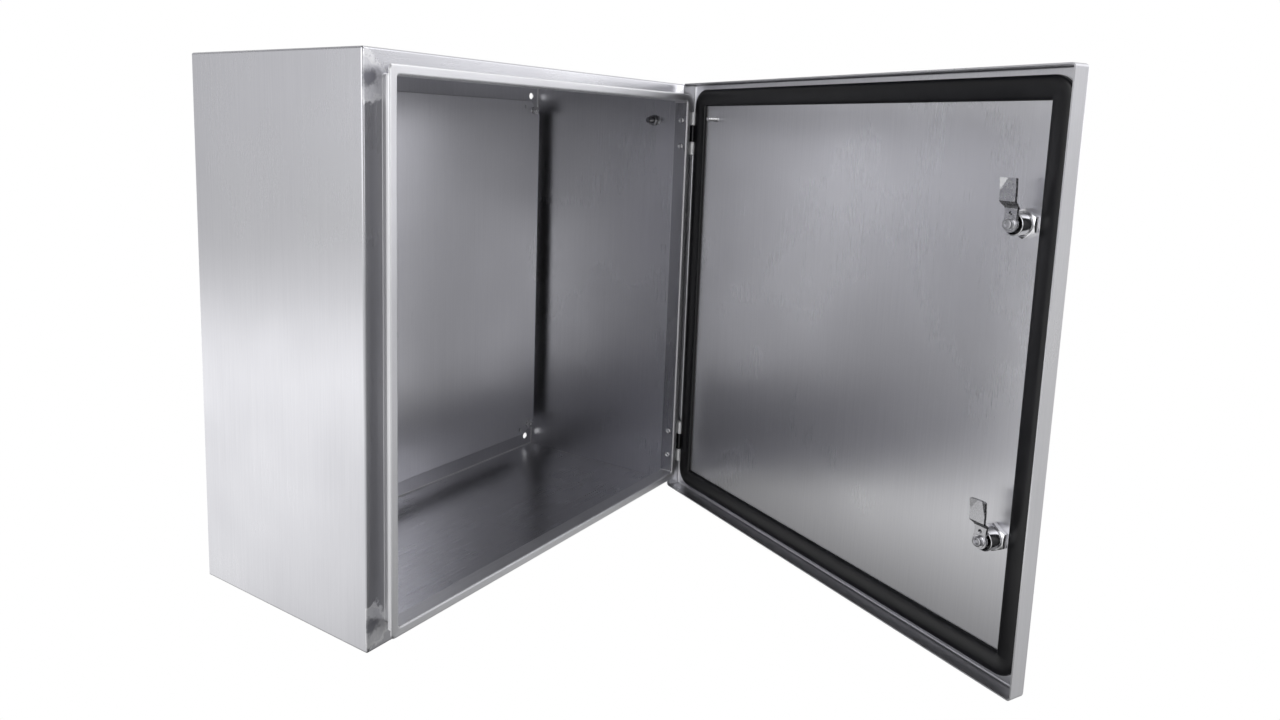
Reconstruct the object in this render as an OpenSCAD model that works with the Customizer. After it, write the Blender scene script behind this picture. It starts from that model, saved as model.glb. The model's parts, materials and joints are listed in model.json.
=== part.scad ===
/* [Enclosure] */
// Overall width of the enclosure and its door
body_w = 600; // [500:10:800]
// Overall height of the enclosure and its door
body_h = 600; // [500:10:800]
// Overall depth with the door shut
overall_d = 300; // [200:10:400]
// Thickness of the folded sheet
sheet = 1.5; // [1.2:0.1:2]
// Outside radius of the folded body edges
edge_r = 2.5; // [2:0.5:3]
// Distance of each wall fixing hole from the two nearest sides
wall_hole_inset = 18; // [17:1:20]
// Diameter of the wall fixing holes
wall_hole_d = 10; // [6:0.5:12]

/* [Front rim] */
// Distance from the body side to the outer edge of the sealing rim
rim_inset = 14.5; // [14:0.5:16]
// Width of the face that the seal presses on
rim_w = 10.5; // [10:0.5:12]
// Height of the rim above the folded front edge
rim_stand = 20; // [18:1:22]
// Depth of the back-turned edge of the rim
hem_d = 5; // [4:0.5:5]
// Corner radius at the outer edge of the rim
rim_r = 5.5; // [4:0.5:7]
// Corner radius at the inner edge of the rim
mouth_r = 3; // [2:0.5:4]

/* [Door] */
// Angle the door stands open at
door_open = 63.5; // [0:0.5:88]
// Depth of the door's turned edges
door_edge_d = 21.5; // [19:0.5:22]
// Outside radius of the door's folded edges
door_r = 4; // [3:0.5:5]
// Width of the seal bead
seal_w = 20.5; // [20:0.5:21]
// Distance from the door's edge to the seal bead
seal_inset = 9.5; // [9.5:0.5:10]

/* [Hinges] */
// Distance of the hinge axis from the door's side and front faces
hinge_inset = 8; // [8:0.5:8.5]
// Distance of the hinge centres from the top and bottom of the door
hinge_end = 70; // [60:5:120]
// Diameter of the hinge knuckles
knuckle_d = 6; // [5:0.5:6]
// Diameter of the hinge pin
pin_d = 3; // [2:0.5:3]
// Spacing of the two screws of each hinge
hinge_screw_gap = 36.5; // [30:0.5:40]

/* [Locks] */
// Distance of the lock axes from the side of the opening
lock_in = 21.5; // [21.5:0.5:35]
// Distance of the lock axes from the top and bottom of the door
lock_end = 145; // [110:5:190]
// Diameter of the lock barrels
barrel_d = 22; // [20:0.5:22]
// Width across flats of the lock nuts
lock_nut_af = 25; // [24.5:0.5:26]
// Distance from the lock axis to the tip of the cam
cam_reach = 43; // [36:1:43]
// Width of the cam's blade
cam_w = 17; // [14:0.5:18]

/* [Mounting plate] */
// Distance of the mounting plate from each side of the enclosure
plate_side = 20; // [20:5:60]
// Distance of the mounting plate from the top and bottom of the enclosure
plate_end = 29.5; // [29.5:0.5:60]
// Distance the mounting plate stands above the middle of the enclosure
plate_raise = 3; // [0:1:5]
// Thickness of the mounting plate
plate_t = 2; // [1.5:0.5:3]
// Clear gap between the back panel and the mounting plate
plate_gap = 17; // [10:1:25]
// Length cut off each corner of the mounting plate
corner_cut = 21; // [10:1:22]

/* [Hidden] */

$fn = 48;
HEX = 6;
EPS = 0.01;
PAST = 1;
STEEL = [0.76, 0.77, 0.79];
BRIGHT = [0.85, 0.86, 0.88];
BLACK = [0.06, 0.06, 0.07];

// Rest height of the seal and depths from the back face to the front
seal_h = 6.9;
seal_gap = 7;
body_d = overall_d - sheet - seal_gap - rim_stand;
front_y = -body_d;
rim_y = front_y - rim_stand;
door_y = -overall_d;
mouth_inset = rim_inset + rim_w;
lip_x = body_w / 2 - mouth_inset;

// Seal bead
seal_r = 6;

// Hinges
hinge_z = body_h / 2 - hinge_end;
axis_x = body_w / 2 - hinge_inset;
axis_y = door_y + hinge_inset;
knuckle_in = 12.2;
knuckle_out = 30;
middle_half = 11.5;
bracket_half = 27;
arm_back = 4;
arm_t = 1.5;
arm_in = 1.5;
web_step = 1;
leaf_t = 1.5;
leaf_w = 7;
leaf_clear = 0.5;
web_t = 1.5;
pin_play = 0.05;
pin_over = 0.6;
hem_notch = 14;
hem_clear = 11;
screw_d = 5;
screw_play = 0.3;
hinge_screw_back = 10.5;
hinge_screw_y = front_y - hinge_screw_back;
hinge_head_d = 8.4;
hinge_head_h = 1.9;
socket_d = 4;
socket_deep = 1.2;

// Locks, the cam hooking behind the folded front edge with hook_play to spare
lock_x = -lip_x + lock_in;
lock_z = body_h / 2 - lock_end;
hook_play = 0.4;
cam_t = 3;
cam_step = 6.9;
cam_stand = 1.5;
core_end = 2 * sheet + seal_gap + rim_stand + hook_play - cam_step;
barrel_len = core_end - cam_stand;
bore_d = 14;
core_play = 0.05;
flange_d = 29;
flange_h = 3.2;
ring_d = 27;
ring_t = 0.8;
lock_nut_h = 6.5;
key_well_d = 9;
key_well_deep = 12;
key_pin_d = 4;
key_wing = 7;
key_wing_t = 1.6;
core_square = 7;
cam_hub_r = 7.8;
cam_bend_from = 15;
cam_bend_to = 21.5;
cam_hole_r = 2;
cam_hole_up = 10;
ramp_hinge = [8, 12];
ramp_free = [4, 14];
ramp_tilt = 16;
cam_washer_d = 12;
cam_washer_t = 1;
cam_thread_d = 6;
cam_thread_len = 11;
cam_screw_d = 10;
cam_screw_h = 3.6;
cam_socket_af = 5;
cam_socket_deep = 2;

// Mounting plate and its fixings
plate_w = body_w - 2 * plate_side;
plate_h = body_h - 2 * plate_end;
stud_in_x = 15;
stud_in_z = 14.5;
stud_x = plate_w / 2 - stud_in_x;
stud_z = plate_h / 2 - stud_in_z;
stud_d = 6;
stud_len = 27.5;
stud_hole_d = 7;
corner_hole_d = 5.5;
corner_hole_in_x = 35;
corner_hole_in_z = 9;
corner_hole_x = plate_w / 2 - corner_hole_in_x;
corner_hole_z = plate_h / 2 - corner_hole_in_z;
washer_d = 12;
washer_t = 1.6;
nut_af = 10;
nut_h = 5;

// Earth studs
earth_back = 48.7;
earth_down = 52;
earth_y = front_y + earth_back;
earth_z = body_h / 2 - earth_down;
earth_d = 8;
earth_len = 19;
earth_washer_d = 16;
earth_washer_t = 1.6;
earth_nut_af = 13;
earth_nut_h = 6.5;
door_earth_d = 6;
door_earth_len = 16;
door_earth_in = 56;
door_earth_down = 49.5;
door_earth_z = body_h / 2 - door_earth_down;

// Extrudes an outline drawn in width and height from depth y0 to depth y1
module slab(y0, y1) {
    translate([0, y1, 0])
        rotate([90, 0, 0])
            linear_extrude(y1 - y0)
                children();
}

// Outline of a rectangle with four rounded corners
module rounded(w, h, r) {
    square([w, h - 2 * r], center = true);
    square([w - 2 * r, h], center = true);
    for (x = [-1, 1], y = [-1, 1])
        translate([x * (w / 2 - r), y * (h / 2 - r)])
            circle(r);
}

// Outline of a sheet tray section, front corners rounded, front at zero
module tray_outline(w, d, r) {
    translate([-w / 2, r])
        square([w, d - r]);
    translate([-w / 2 + r, 0])
        square([w - 2 * r, d]);
    for (x = [-1, 1])
        translate([x * (w / 2 - r), r])
            circle(r);
}

// Block with its four front edges rounded, front face at depth y
module tray_block(w, h, d, r, y) {
    intersection() {
        translate([0, y, 0])
            linear_extrude(h + 2 * PAST, center = true)
                tray_outline(w, d, r);
        translate([0, y, 0])
            rotate([0, 90, 0])
                linear_extrude(w + 2 * PAST, center = true)
                    tray_outline(h, d, r);
    }
}

// Hexagon outline given its width across flats
module hexagon(af) {
    circle(d = af / cos(180 / HEX), $fn = HEX);
}

// Turns what belongs to the door from shut to its open angle
module on_door() {
    translate([axis_x, axis_y, 0])
        rotate([0, 0, door_open])
            translate([-axis_x, -axis_y, 0])
                children();
}

// Four folded walls of the enclosure
module body_shell() {
    color(STEEL)
        intersection() {
            slab(front_y + sheet, 0)
                difference() {
                    rounded(body_w, body_h, edge_r);
                    square([body_w - 2 * sheet, body_h - 2 * sheet], center = true);
                }
            tray_block(body_w, body_h, body_d, edge_r, front_y);
        }
}

// Welded back with the wall fixing holes
module back_panel() {
    color(STEEL)
        slab(-sheet, 0)
            difference() {
                square([body_w - 2 * sheet, body_h - 2 * sheet], center = true);
                for (x = [-1, 1], z = [-1, 1])
                    translate([x * (body_w / 2 - wall_hole_inset), z * (body_h / 2 - wall_hole_inset)])
                        circle(d = wall_hole_d);
            }
}

// Outline of the opening, grown outwards by g
module mouth_outline(g) {
    rounded(body_w - 2 * mouth_inset + 2 * g, body_h - 2 * mouth_inset + 2 * g, mouth_r + g);
}

// Folded front edge, lip and sealing rim around the opening
module front_rim() {
    color(STEEL)
        difference() {
            union() {
                intersection() {
                    slab(front_y, front_y + sheet)
                        difference() {
                            rounded(body_w, body_h, edge_r);
                            mouth_outline(0);
                        }
                    tray_block(body_w, body_h, body_d, edge_r, front_y);
                }
                slab(rim_y + sheet, front_y)
                    difference() {
                        mouth_outline(sheet);
                        mouth_outline(0);
                    }
                slab(rim_y, rim_y + sheet)
                    difference() {
                        rounded(body_w - 2 * rim_inset, body_h - 2 * rim_inset, rim_r);
                        mouth_outline(0);
                    }
                rim_hems();
            }
            for (z = [-hinge_z, hinge_z], s = [-1, 1])
                translate([lip_x, hinge_screw_y, z + s * hinge_screw_gap / 2])
                    rotate([0, 90, 0])
                        cylinder(d = screw_d + screw_play, h = 2 * (sheet + PAST), center = true);
        }
}

// Back-turned edges of the rim, stopping short of the corners and open at the hinges
module rim_hems() {
    rx = body_w / 2 - rim_inset;
    rz = body_h / 2 - rim_inset;
    y0 = rim_y + sheet;
    y1 = rim_y + hem_d;
    translate([-rx, y0, -rz + hem_clear])
        cube([sheet, y1 - y0, 2 * rz - 2 * hem_clear]);
    for (z = [-rz, rz - sheet])
        translate([-rx + hem_clear, y0, z])
            cube([2 * rx - 2 * hem_clear, y1 - y0, sheet]);
    difference() {
        translate([rx - sheet, y0, -rz + hem_clear])
            cube([sheet, y1 - y0, 2 * rz - 2 * hem_clear]);
        for (z = [-hinge_z, hinge_z])
            translate([rx - 2 * sheet, y0 - EPS, z - hem_notch])
                cube([4 * sheet, y1 - y0 + PAST, 2 * hem_notch]);
    }
}

// Flat plate that carries the equipment
module mounting_plate() {
    y1 = -sheet - plate_gap;
    hw = plate_w / 2;
    hh = plate_h / 2;
    c = corner_cut;
    color(STEEL)
        translate([0, 0, plate_raise])
            slab(y1 - plate_t, y1)
                difference() {
                    polygon([
                        [-hw + c, -hh], [hw - c, -hh], [hw, -hh + c], [hw, hh - c],
                        [hw - c, hh], [-hw + c, hh], [-hw, hh - c], [-hw, -hh + c]
                    ]);
                    for (x = [-1, 1], z = [-1, 1]) {
                        translate([x * stud_x, z * stud_z])
                            circle(d = stud_hole_d);
                        translate([x * corner_hole_x, z * corner_hole_z])
                            circle(d = corner_hole_d);
                    }
                }
}

// Places children at the four plate studs
module at_studs() {
    for (x = [-1, 1], z = [-1, 1])
        translate([x * stud_x, 0, plate_raise + z * stud_z])
            children();
}

// Threaded studs welded to the back
module plate_studs() {
    color(BRIGHT)
        at_studs()
            slab(-sheet - stud_len, -sheet)
                circle(d = stud_d);
}

// Washers under the plate nuts
module plate_washers() {
    y1 = -sheet - plate_gap - plate_t;
    color(BRIGHT)
        at_studs()
            slab(y1 - washer_t, y1)
                difference() {
                    circle(d = washer_d);
                    circle(d = stud_d + screw_play);
                }
}

// Nuts that hold the mounting plate
module plate_nuts() {
    y1 = -sheet - plate_gap - plate_t - washer_t;
    color(BRIGHT)
        at_studs()
            slab(y1 - nut_h, y1)
                difference() {
                    hexagon(nut_af);
                    circle(d = stud_d);
                }
}

// Places children at the earth point of the body, drawn standing up
module at_body_earth(in) {
    translate([body_w / 2 - sheet - in, earth_y, earth_z])
        rotate([0, -90, 0])
            children();
}

// Threaded earth stud on the hinge side wall
module body_earth_stud() {
    color(BRIGHT)
        at_body_earth(0)
            cylinder(d = earth_d, h = earth_len);
}

// Washer of the body earth point
module body_earth_washer() {
    color(BRIGHT)
        at_body_earth(0)
            linear_extrude(earth_washer_t)
                difference() {
                    circle(d = earth_washer_d);
                    circle(d = earth_d);
                }
}

// Nut of the body earth point
module body_earth_nut() {
    color(BRIGHT)
        at_body_earth(earth_washer_t)
            linear_extrude(earth_nut_h)
                difference() {
                    hexagon(earth_nut_af);
                    circle(d = earth_d);
                }
}

// Fixed half of a hinge, screwed to the lip and reaching past the rim to the middle knuckle
module hinge_bracket(z) {
    x0 = lip_x + sheet;
    y0 = rim_y + hem_d;
    web_x = axis_x - knuckle_d / 2 + web_step;
    color(BLACK)
        translate([0, 0, z])
            difference() {
                union() {
                    translate([x0, y0 - arm_in, -bracket_half])
                        cube([arm_t, front_y - arm_back - y0 + arm_in, 2 * bracket_half]);
                    translate([x0, y0 - arm_in, -middle_half])
                        cube([web_x - x0 + arm_t, arm_t, 2 * middle_half]);
                    translate([web_x, axis_y, -middle_half])
                        cube([arm_t, y0 - axis_y, 2 * middle_half]);
                    translate([axis_x, axis_y, 0])
                        cylinder(d = knuckle_d, h = 2 * middle_half, center = true);
                }
                translate([axis_x, axis_y, 0])
                    cylinder(d = pin_d + 2 * pin_play, h = 2 * (middle_half + PAST), center = true);
                for (s = [-1, 1])
                    translate([x0, hinge_screw_y, s * hinge_screw_gap / 2])
                        rotate([0, 90, 0])
                            cylinder(d = screw_d, h = 2 * (arm_t + PAST), center = true);
            }
}

// Two screws of a hinge, heads inside the opening
module hinge_screws(z) {
    color(BRIGHT)
        for (s = [-1, 1])
            translate([lip_x, hinge_screw_y, z + s * hinge_screw_gap / 2])
                rotate([0, 90, 0])
                    difference() {
                        union() {
                            translate([0, 0, -hinge_head_h])
                                cylinder(d = hinge_head_d, h = hinge_head_h);
                            cylinder(d = screw_d, h = sheet + arm_t);
                        }
                        translate([0, 0, -hinge_head_h - EPS])
                            linear_extrude(socket_deep)
                                hexagon(socket_d);
                    }
}

// Moving half of a hinge on the door's turned edge, with the two outer knuckles
module hinge_leaf(z) {
    x1 = body_w / 2 - sheet;
    run = knuckle_out - knuckle_in;
    color(BRIGHT)
        on_door()
            translate([0, 0, z])
                difference() {
                    union() {
                        translate([x1 - leaf_t, door_y + door_r, -knuckle_in])
                            cube([leaf_t, axis_y - leaf_clear - door_y - door_r, 2 * knuckle_in]);
                        for (z1 = [-knuckle_out, knuckle_in])
                            translate([0, 0, z1]) {
                                translate([x1 - leaf_t, door_y + door_r, 0])
                                    cube([leaf_t, leaf_w, run]);
                                translate([axis_x, axis_y, 0])
                                    cylinder(d = knuckle_d, h = run);
                                translate([axis_x, axis_y - knuckle_d / 2, 0])
                                    cube([x1 - axis_x, web_t, run]);
                            }
                    }
                    translate([axis_x, axis_y, 0])
                        cylinder(d = pin_d, h = 2 * (knuckle_out + PAST), center = true);
                }
}

// Pin of a hinge, held by the outer knuckles and turning in the middle one
module hinge_pin(z) {
    color(BRIGHT)
        on_door()
            translate([axis_x, axis_y, z])
                cylinder(d = pin_d, h = 2 * (knuckle_out + pin_over), center = true);
}

// Sheet door with turned edges and two lock holes
module door_panel() {
    color(STEEL)
        on_door()
            difference() {
                tray_block(body_w, body_h, door_edge_d, door_r, door_y);
                tray_block(body_w - 2 * sheet, body_h - 2 * sheet, door_edge_d, door_r - sheet,
                    door_y + sheet);
                for (z = [-lock_z, lock_z])
                    translate([lock_x, door_y, z])
                        rotate([90, 0, 0])
                            cylinder(d = barrel_d, h = 2 * (sheet + PAST), center = true);
            }
}

// Section of the seal bead, inner edge at zero, standing up
module seal_section() {
    square([seal_w, seal_h - seal_r]);
    translate([seal_r, 0])
        square([seal_w - 2 * seal_r, seal_h]);
    for (x = [seal_r, seal_w - seal_r])
        translate([x, seal_h - seal_r])
            intersection() {
                circle(seal_r);
                translate([-seal_r, 0])
                    square([2 * seal_r, seal_r]);
            }
}

// Foamed seal bead inside the door, square inside corners and round outside corners
module door_seal() {
    half = [body_w / 2 - seal_inset - seal_w, body_h / 2 - seal_inset - seal_w];
    color(BLACK)
        on_door()
            translate([0, door_y + sheet, 0])
                rotate([-90, 0, 0])
                    for (k = [0:3])
                        rotate([0, 0, 90 * k]) {
                            run = half[k % 2];
                            side = half[(k + 1) % 2];
                            translate([run, side, 0])
                                rotate([90, 0, 0])
                                    linear_extrude(2 * side)
                                        seal_section();
                            translate([run, side, 0])
                                rotate_extrude(angle = 90)
                                    seal_section();
                        }
}

// Bare threaded earth stud inside the door near the hinges
module door_earth_stud() {
    color(BRIGHT)
        on_door()
            translate([body_w / 2 - door_earth_in, 0, door_earth_z])
                slab(door_y + sheet, door_y + sheet + door_earth_len)
                    circle(d = door_earth_d);
}

// Places children at a lock axis, drawn in width and height
module at_lock(z) {
    on_door()
        translate([lock_x, 0, z])
            children();
}

// Threaded lock body through the door, with its outside flange
module lock_housing(z) {
    color(BRIGHT)
        at_lock(z) {
            slab(door_y - ring_t - flange_h, door_y - ring_t)
                difference() {
                    circle(d = flange_d);
                    circle(d = bore_d);
                }
            slab(door_y - ring_t, door_y + barrel_len)
                difference() {
                    circle(d = barrel_d);
                    circle(d = bore_d);
                }
        }
}

// Sealing ring between the lock flange and the door
module lock_ring(z) {
    color(BLACK)
        at_lock(z)
            slab(door_y - ring_t, door_y)
                difference() {
                    circle(d = ring_d);
                    circle(d = barrel_d);
                }
}

// Hexagon nut that clamps the lock to the door
module lock_nut(z) {
    color(BRIGHT)
        at_lock(z)
            slab(door_y + sheet, door_y + sheet + lock_nut_h)
                difference() {
                    rotate([0, 0, 90])
                        hexagon(lock_nut_af);
                    circle(d = barrel_d);
                }
}

// Turning core with a two-winged key pin in a round well and a square end
module lock_core(z) {
    y0 = door_y - ring_t - flange_h;
    y1 = door_y + core_end + cam_t;
    y2 = y1 - cam_thread_len;
    color(BRIGHT)
        at_lock(z) {
            slab(y0, y0 + key_well_deep)
                difference() {
                    circle(d = bore_d - 2 * core_play);
                    difference() {
                        circle(d = key_well_d);
                        circle(d = key_pin_d);
                        square([key_wing, key_wing_t], center = true);
                    }
                }
            slab(y0 + key_well_deep, y2)
                circle(d = bore_d - 2 * core_play);
            slab(y2, door_y + core_end)
                difference() {
                    circle(d = bore_d - 2 * core_play);
                    circle(d = cam_thread_d);
                }
            slab(door_y + core_end, y1)
                difference() {
                    square(core_square, center = true);
                    circle(d = cam_thread_d);
                }
        }
}

// Tip corner of the cam bent up as a lead-in, on side s, with its width and height in size
module cam_ramp(s, size, y1) {
    corner = [s * cam_w / 2, cam_reach];
    low = corner - [0, size[1]];
    inner = corner - [s * size[0], 0];
    run = inner - low;
    translate([low[0], y1, low[1]])
        rotate(s * ramp_tilt, [run[0], 0, run[1]])
            translate([-low[0], -y1, -low[1]])
                slab(y1, y1 + cam_t)
                    polygon([low, corner, inner]);
}

// Stepped locking cam, standing upwards at rest
module lock_cam(z) {
    y0 = door_y + core_end;
    y1 = y0 + cam_step;
    hw = cam_w / 2;
    color(BRIGHT)
        at_lock(z) {
            slab(y0, y0 + cam_t)
                difference() {
                    union() {
                        circle(cam_hub_r);
                        translate([-cam_hub_r, 0])
                            square([2 * cam_hub_r, cam_bend_from]);
                    }
                    square(core_square, center = true);
                    translate([0, cam_hole_up])
                        circle(cam_hole_r);
                }
            translate([-cam_hub_r, 0, 0])
                rotate([90, 0, 90])
                    linear_extrude(2 * cam_hub_r)
                        polygon([
                            [y0, cam_bend_from], [y0 + cam_t, cam_bend_from],
                            [y1 + cam_t, cam_bend_to], [y1, cam_bend_to]
                        ]);
            slab(y1, y1 + cam_t)
                polygon([
                    [-hw, cam_bend_to], [hw, cam_bend_to], [hw, cam_reach - ramp_hinge[1]],
                    [hw - ramp_hinge[0], cam_reach], [-hw + ramp_free[0], cam_reach],
                    [-hw, cam_reach - ramp_free[1]]
                ]);
            cam_ramp(1, ramp_hinge, y1);
            cam_ramp(-1, ramp_free, y1);
        }
}

// Washer under the cam screw
module lock_washer(z) {
    y0 = door_y + core_end + cam_t;
    color(BRIGHT)
        at_lock(z)
            slab(y0, y0 + cam_washer_t)
                difference() {
                    circle(d = cam_washer_d);
                    circle(d = cam_thread_d);
                }
}

// Socket screw that holds the cam
module lock_screw(z) {
    y0 = door_y + core_end + cam_t + cam_washer_t;
    color(BRIGHT)
        at_lock(z) {
            slab(y0 - cam_washer_t - cam_thread_len, y0)
                circle(d = cam_thread_d);
            slab(y0, y0 + cam_screw_h - cam_socket_deep)
                circle(d = cam_screw_d);
            slab(y0 + cam_screw_h - cam_socket_deep, y0 + cam_screw_h)
                difference() {
                    circle(d = cam_screw_d);
                    hexagon(cam_socket_af);
                }
        }
}

body_shell();
back_panel();
front_rim();
mounting_plate();
plate_studs();
plate_washers();
plate_nuts();
body_earth_stud();
body_earth_washer();
body_earth_nut();
hinge_bracket(hinge_z);  // upper_hinge_bracket
hinge_bracket(-hinge_z);  // lower_hinge_bracket
hinge_screws(hinge_z);  // upper_hinge_screws
hinge_screws(-hinge_z);  // lower_hinge_screws
door_panel();
door_seal();
door_earth_stud();
hinge_leaf(hinge_z);  // upper_hinge_leaf
hinge_leaf(-hinge_z);  // lower_hinge_leaf
hinge_pin(hinge_z);  // upper_hinge_pin
hinge_pin(-hinge_z);  // lower_hinge_pin
lock_housing(lock_z);  // upper_lock_housing
lock_ring(lock_z);  // upper_lock_ring
lock_nut(lock_z);  // upper_lock_nut
lock_core(lock_z);  // upper_lock_core
lock_cam(lock_z);  // upper_lock_cam
lock_washer(lock_z);  // upper_lock_washer
lock_screw(lock_z);  // upper_lock_screw
lock_housing(-lock_z);  // lower_lock_housing
lock_ring(-lock_z);  // lower_lock_ring
lock_nut(-lock_z);  // lower_lock_nut
lock_core(-lock_z);  // lower_lock_core
lock_cam(-lock_z);  // lower_lock_cam
lock_washer(-lock_z);  // lower_lock_washer
lock_screw(-lock_z);  // lower_lock_screw
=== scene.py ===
"""Looks of a wall mounted stainless switchboard cabinet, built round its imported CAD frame.

Metres, in the CAD frame: X to the right, -Y out of the front opening, Z up.
Door pieces are built as if the door were shut, then swung open with the CAD door.
"""

import json
import math

import bmesh
import bpy
from mathutils import Matrix, Vector
from mathutils import noise


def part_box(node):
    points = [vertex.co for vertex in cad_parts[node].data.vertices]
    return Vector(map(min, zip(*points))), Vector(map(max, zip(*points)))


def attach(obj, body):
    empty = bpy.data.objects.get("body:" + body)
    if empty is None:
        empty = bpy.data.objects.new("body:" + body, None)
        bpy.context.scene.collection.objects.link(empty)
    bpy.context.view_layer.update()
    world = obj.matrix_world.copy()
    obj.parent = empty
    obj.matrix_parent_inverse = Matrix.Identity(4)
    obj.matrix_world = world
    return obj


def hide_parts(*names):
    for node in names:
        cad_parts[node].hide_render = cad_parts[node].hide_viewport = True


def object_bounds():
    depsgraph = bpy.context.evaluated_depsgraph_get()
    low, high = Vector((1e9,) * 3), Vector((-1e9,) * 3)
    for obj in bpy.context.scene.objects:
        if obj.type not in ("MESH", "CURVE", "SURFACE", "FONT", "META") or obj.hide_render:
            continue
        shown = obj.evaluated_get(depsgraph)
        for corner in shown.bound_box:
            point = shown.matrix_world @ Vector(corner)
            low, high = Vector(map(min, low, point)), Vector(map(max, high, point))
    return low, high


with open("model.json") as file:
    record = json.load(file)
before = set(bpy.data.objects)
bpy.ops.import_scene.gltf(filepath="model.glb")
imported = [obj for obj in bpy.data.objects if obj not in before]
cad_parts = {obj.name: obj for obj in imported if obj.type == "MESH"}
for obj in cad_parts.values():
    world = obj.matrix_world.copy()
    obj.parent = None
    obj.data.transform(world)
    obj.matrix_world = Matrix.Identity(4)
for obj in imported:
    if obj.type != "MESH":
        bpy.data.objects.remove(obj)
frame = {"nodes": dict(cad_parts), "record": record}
cad_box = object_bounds()
NODES = frame["nodes"]
JOINTS = {j["name"]: j for j in frame["record"]["behaviour"]["joints"]}
MOUNTS = {m["name"]: m for m in frame["record"]["mounts"]}
MM = 0.001


# ---------------------------------------------------------------- places taken from the frame

HINGE = Vector(JOINTS["door_hinge"]["pos_m"])
OPEN = math.radians(-JOINTS["door_hinge"]["range_deg"][0])
SWING = Matrix.Translation(HINGE) @ Matrix.Rotation(OPEN, 4, "Z") @ Matrix.Translation(-HINGE)


def shut_box(node):
    """Lowest and highest corner of a door node, as if the door were shut."""
    back = SWING.inverted()
    points = [back @ v.co for v in NODES[node].data.vertices]
    low = Vector([min(p[i] for p in points) for i in range(3)])
    high = Vector([max(p[i] for p in points) for i in range(3)])
    return low, high


def middle(box):
    """Centre of a box given by its lowest and highest corner."""
    return (box[0] + box[1]) / 2


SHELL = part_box("body_shell")
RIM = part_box("front_rim")
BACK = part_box("back_panel")
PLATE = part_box("mounting_plate")
DOOR = shut_box("door_panel")
SEAL = shut_box("door_seal")

# Sheet thickness, half width and height, and the planes of the flange, rim and door
SHEET = BACK[1].y - BACK[0].y
HALF_W = SHELL[1].x
HALF_H = SHELL[1].z
FRONT = SHELL[0].y - SHEET
RIM_Y = RIM[0].y
DOOR_Y = DOOR[0].y
DOOR_IN = DOOR_Y + SHEET

# Body: outer fold, the mouth's inset and corner, the rim's inset and corner, and its hem
EDGE_R = 2.5 * MM
MOUTH = 25 * MM
MOUTH_R = 3 * MM
RIM_INSET = 14.5 * MM
RIM_R = 5.5 * MM
HEM = 5 * MM
HEM_CLEAR = 11 * MM
HEM_NOTCH = 14 * MM

# Fold radii along the middle of the sheet, and how far edges are broken
FOLD = 1.3 * MM
RIM_FOLD = 1.6 * MM
HEM_FOLD = 1.5 * MM
SHARP = 0.2 * MM
CUT_EDGE = 0.25 * MM
PLATE_EDGE = 0.6 * MM
WELD = 2 * MM

# Mounting plate, door and seal; the free bead bulges past its compressed width in the CAD
PLATE_CUT = 21 * MM
STUD_HOLE_R = 3.5 * MM
DOOR_R = 4 * MM
DOOR_FLAT = 14 * MM
SEAL_PROUD = 1.3 * MM
SEAL_W = 23.2 * MM
SEAL_WAVE = 0.35 * MM

# Centre of the ground weld in the top right front corner; the other corners mirror it
GROUND = (HALF_W - 7 * MM, -FRONT, HALF_H - 28 * MM)

# Screw sizes: thread radius, pitch and width across the nut's flats
M5_R = 2.5 * MM
M6_R = 3 * MM
M6_PITCH = 1 * MM
M6_FLATS = 10 * MM
M8_R = 4 * MM
M8_PITCH = 1.25 * MM
M8_FLATS = 13 * MM

# Locks and hinges
BARREL_R = 11 * MM
BORE_R = 7 * MM
CORE_R = 6.95 * MM
PIN_R = 1.5 * MM
PIN_BORE_R = 1.55 * MM
KNUCKLE_R = 3 * MM
HINGE_T = 1.5 * MM
HINGE_HEAD_R = 4.2 * MM


# ---------------------------------------------------------------- mesh helpers

def add(name, bm, body, node, materials, matrix=None, angle=32, soften=0.0):
    """Turns a bmesh into a piece that rides on body and stands for node.

    Faces meeting at more than angle degrees look sharp, and soften bevels the sharpest edges.
    """
    bmesh.ops.recalc_face_normals(bm, faces=bm.faces)
    if matrix is not None:
        bm.transform(matrix)
    mesh = bpy.data.meshes.new(name)
    bm.to_mesh(mesh)
    bm.free()
    mesh.shade_smooth()
    mesh.set_sharp_from_angle(angle=math.radians(angle))
    piece = bpy.data.objects.new(name, mesh)
    bpy.context.scene.collection.objects.link(piece)
    for material in materials:
        mesh.materials.append(material)
    if soften:
        soft = piece.modifiers.new("broken edges", "BEVEL")
        soft.width = soften
        soft.segments = 3
        soft.limit_method = "ANGLE"
        soft.angle_limit = math.radians(48)
    weigh = piece.modifiers.new("flat faces", "WEIGHTED_NORMAL")
    weigh.keep_sharp = True
    weigh.weight = 100
    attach(piece, body)
    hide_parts(node)
    return piece


def bridge(bm, one, two, finish=0):
    """Quads between two rings of as many vertices."""
    for i in range(len(one)):
        j = (i + 1) % len(one)
        bm.faces.new((one[i], one[j], two[j], two[i])).material_index = finish


def mix(a, b, t):
    """Value a fraction t of the way from a to b."""
    return a + (b - a) * t


def arc(x, z, r, start, end, steps):
    """Points on a circle from angle start to end, in degrees."""
    turns = [math.radians(mix(start, end, k / steps)) for k in range(steps + 1)]
    return [(x + r * math.cos(a), z + r * math.sin(a)) for a in turns]


def circle(x, z, r, count=32):
    """Closed ring of count points."""
    return arc(x, z, r, 0, 360, count)[:-1]


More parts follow.
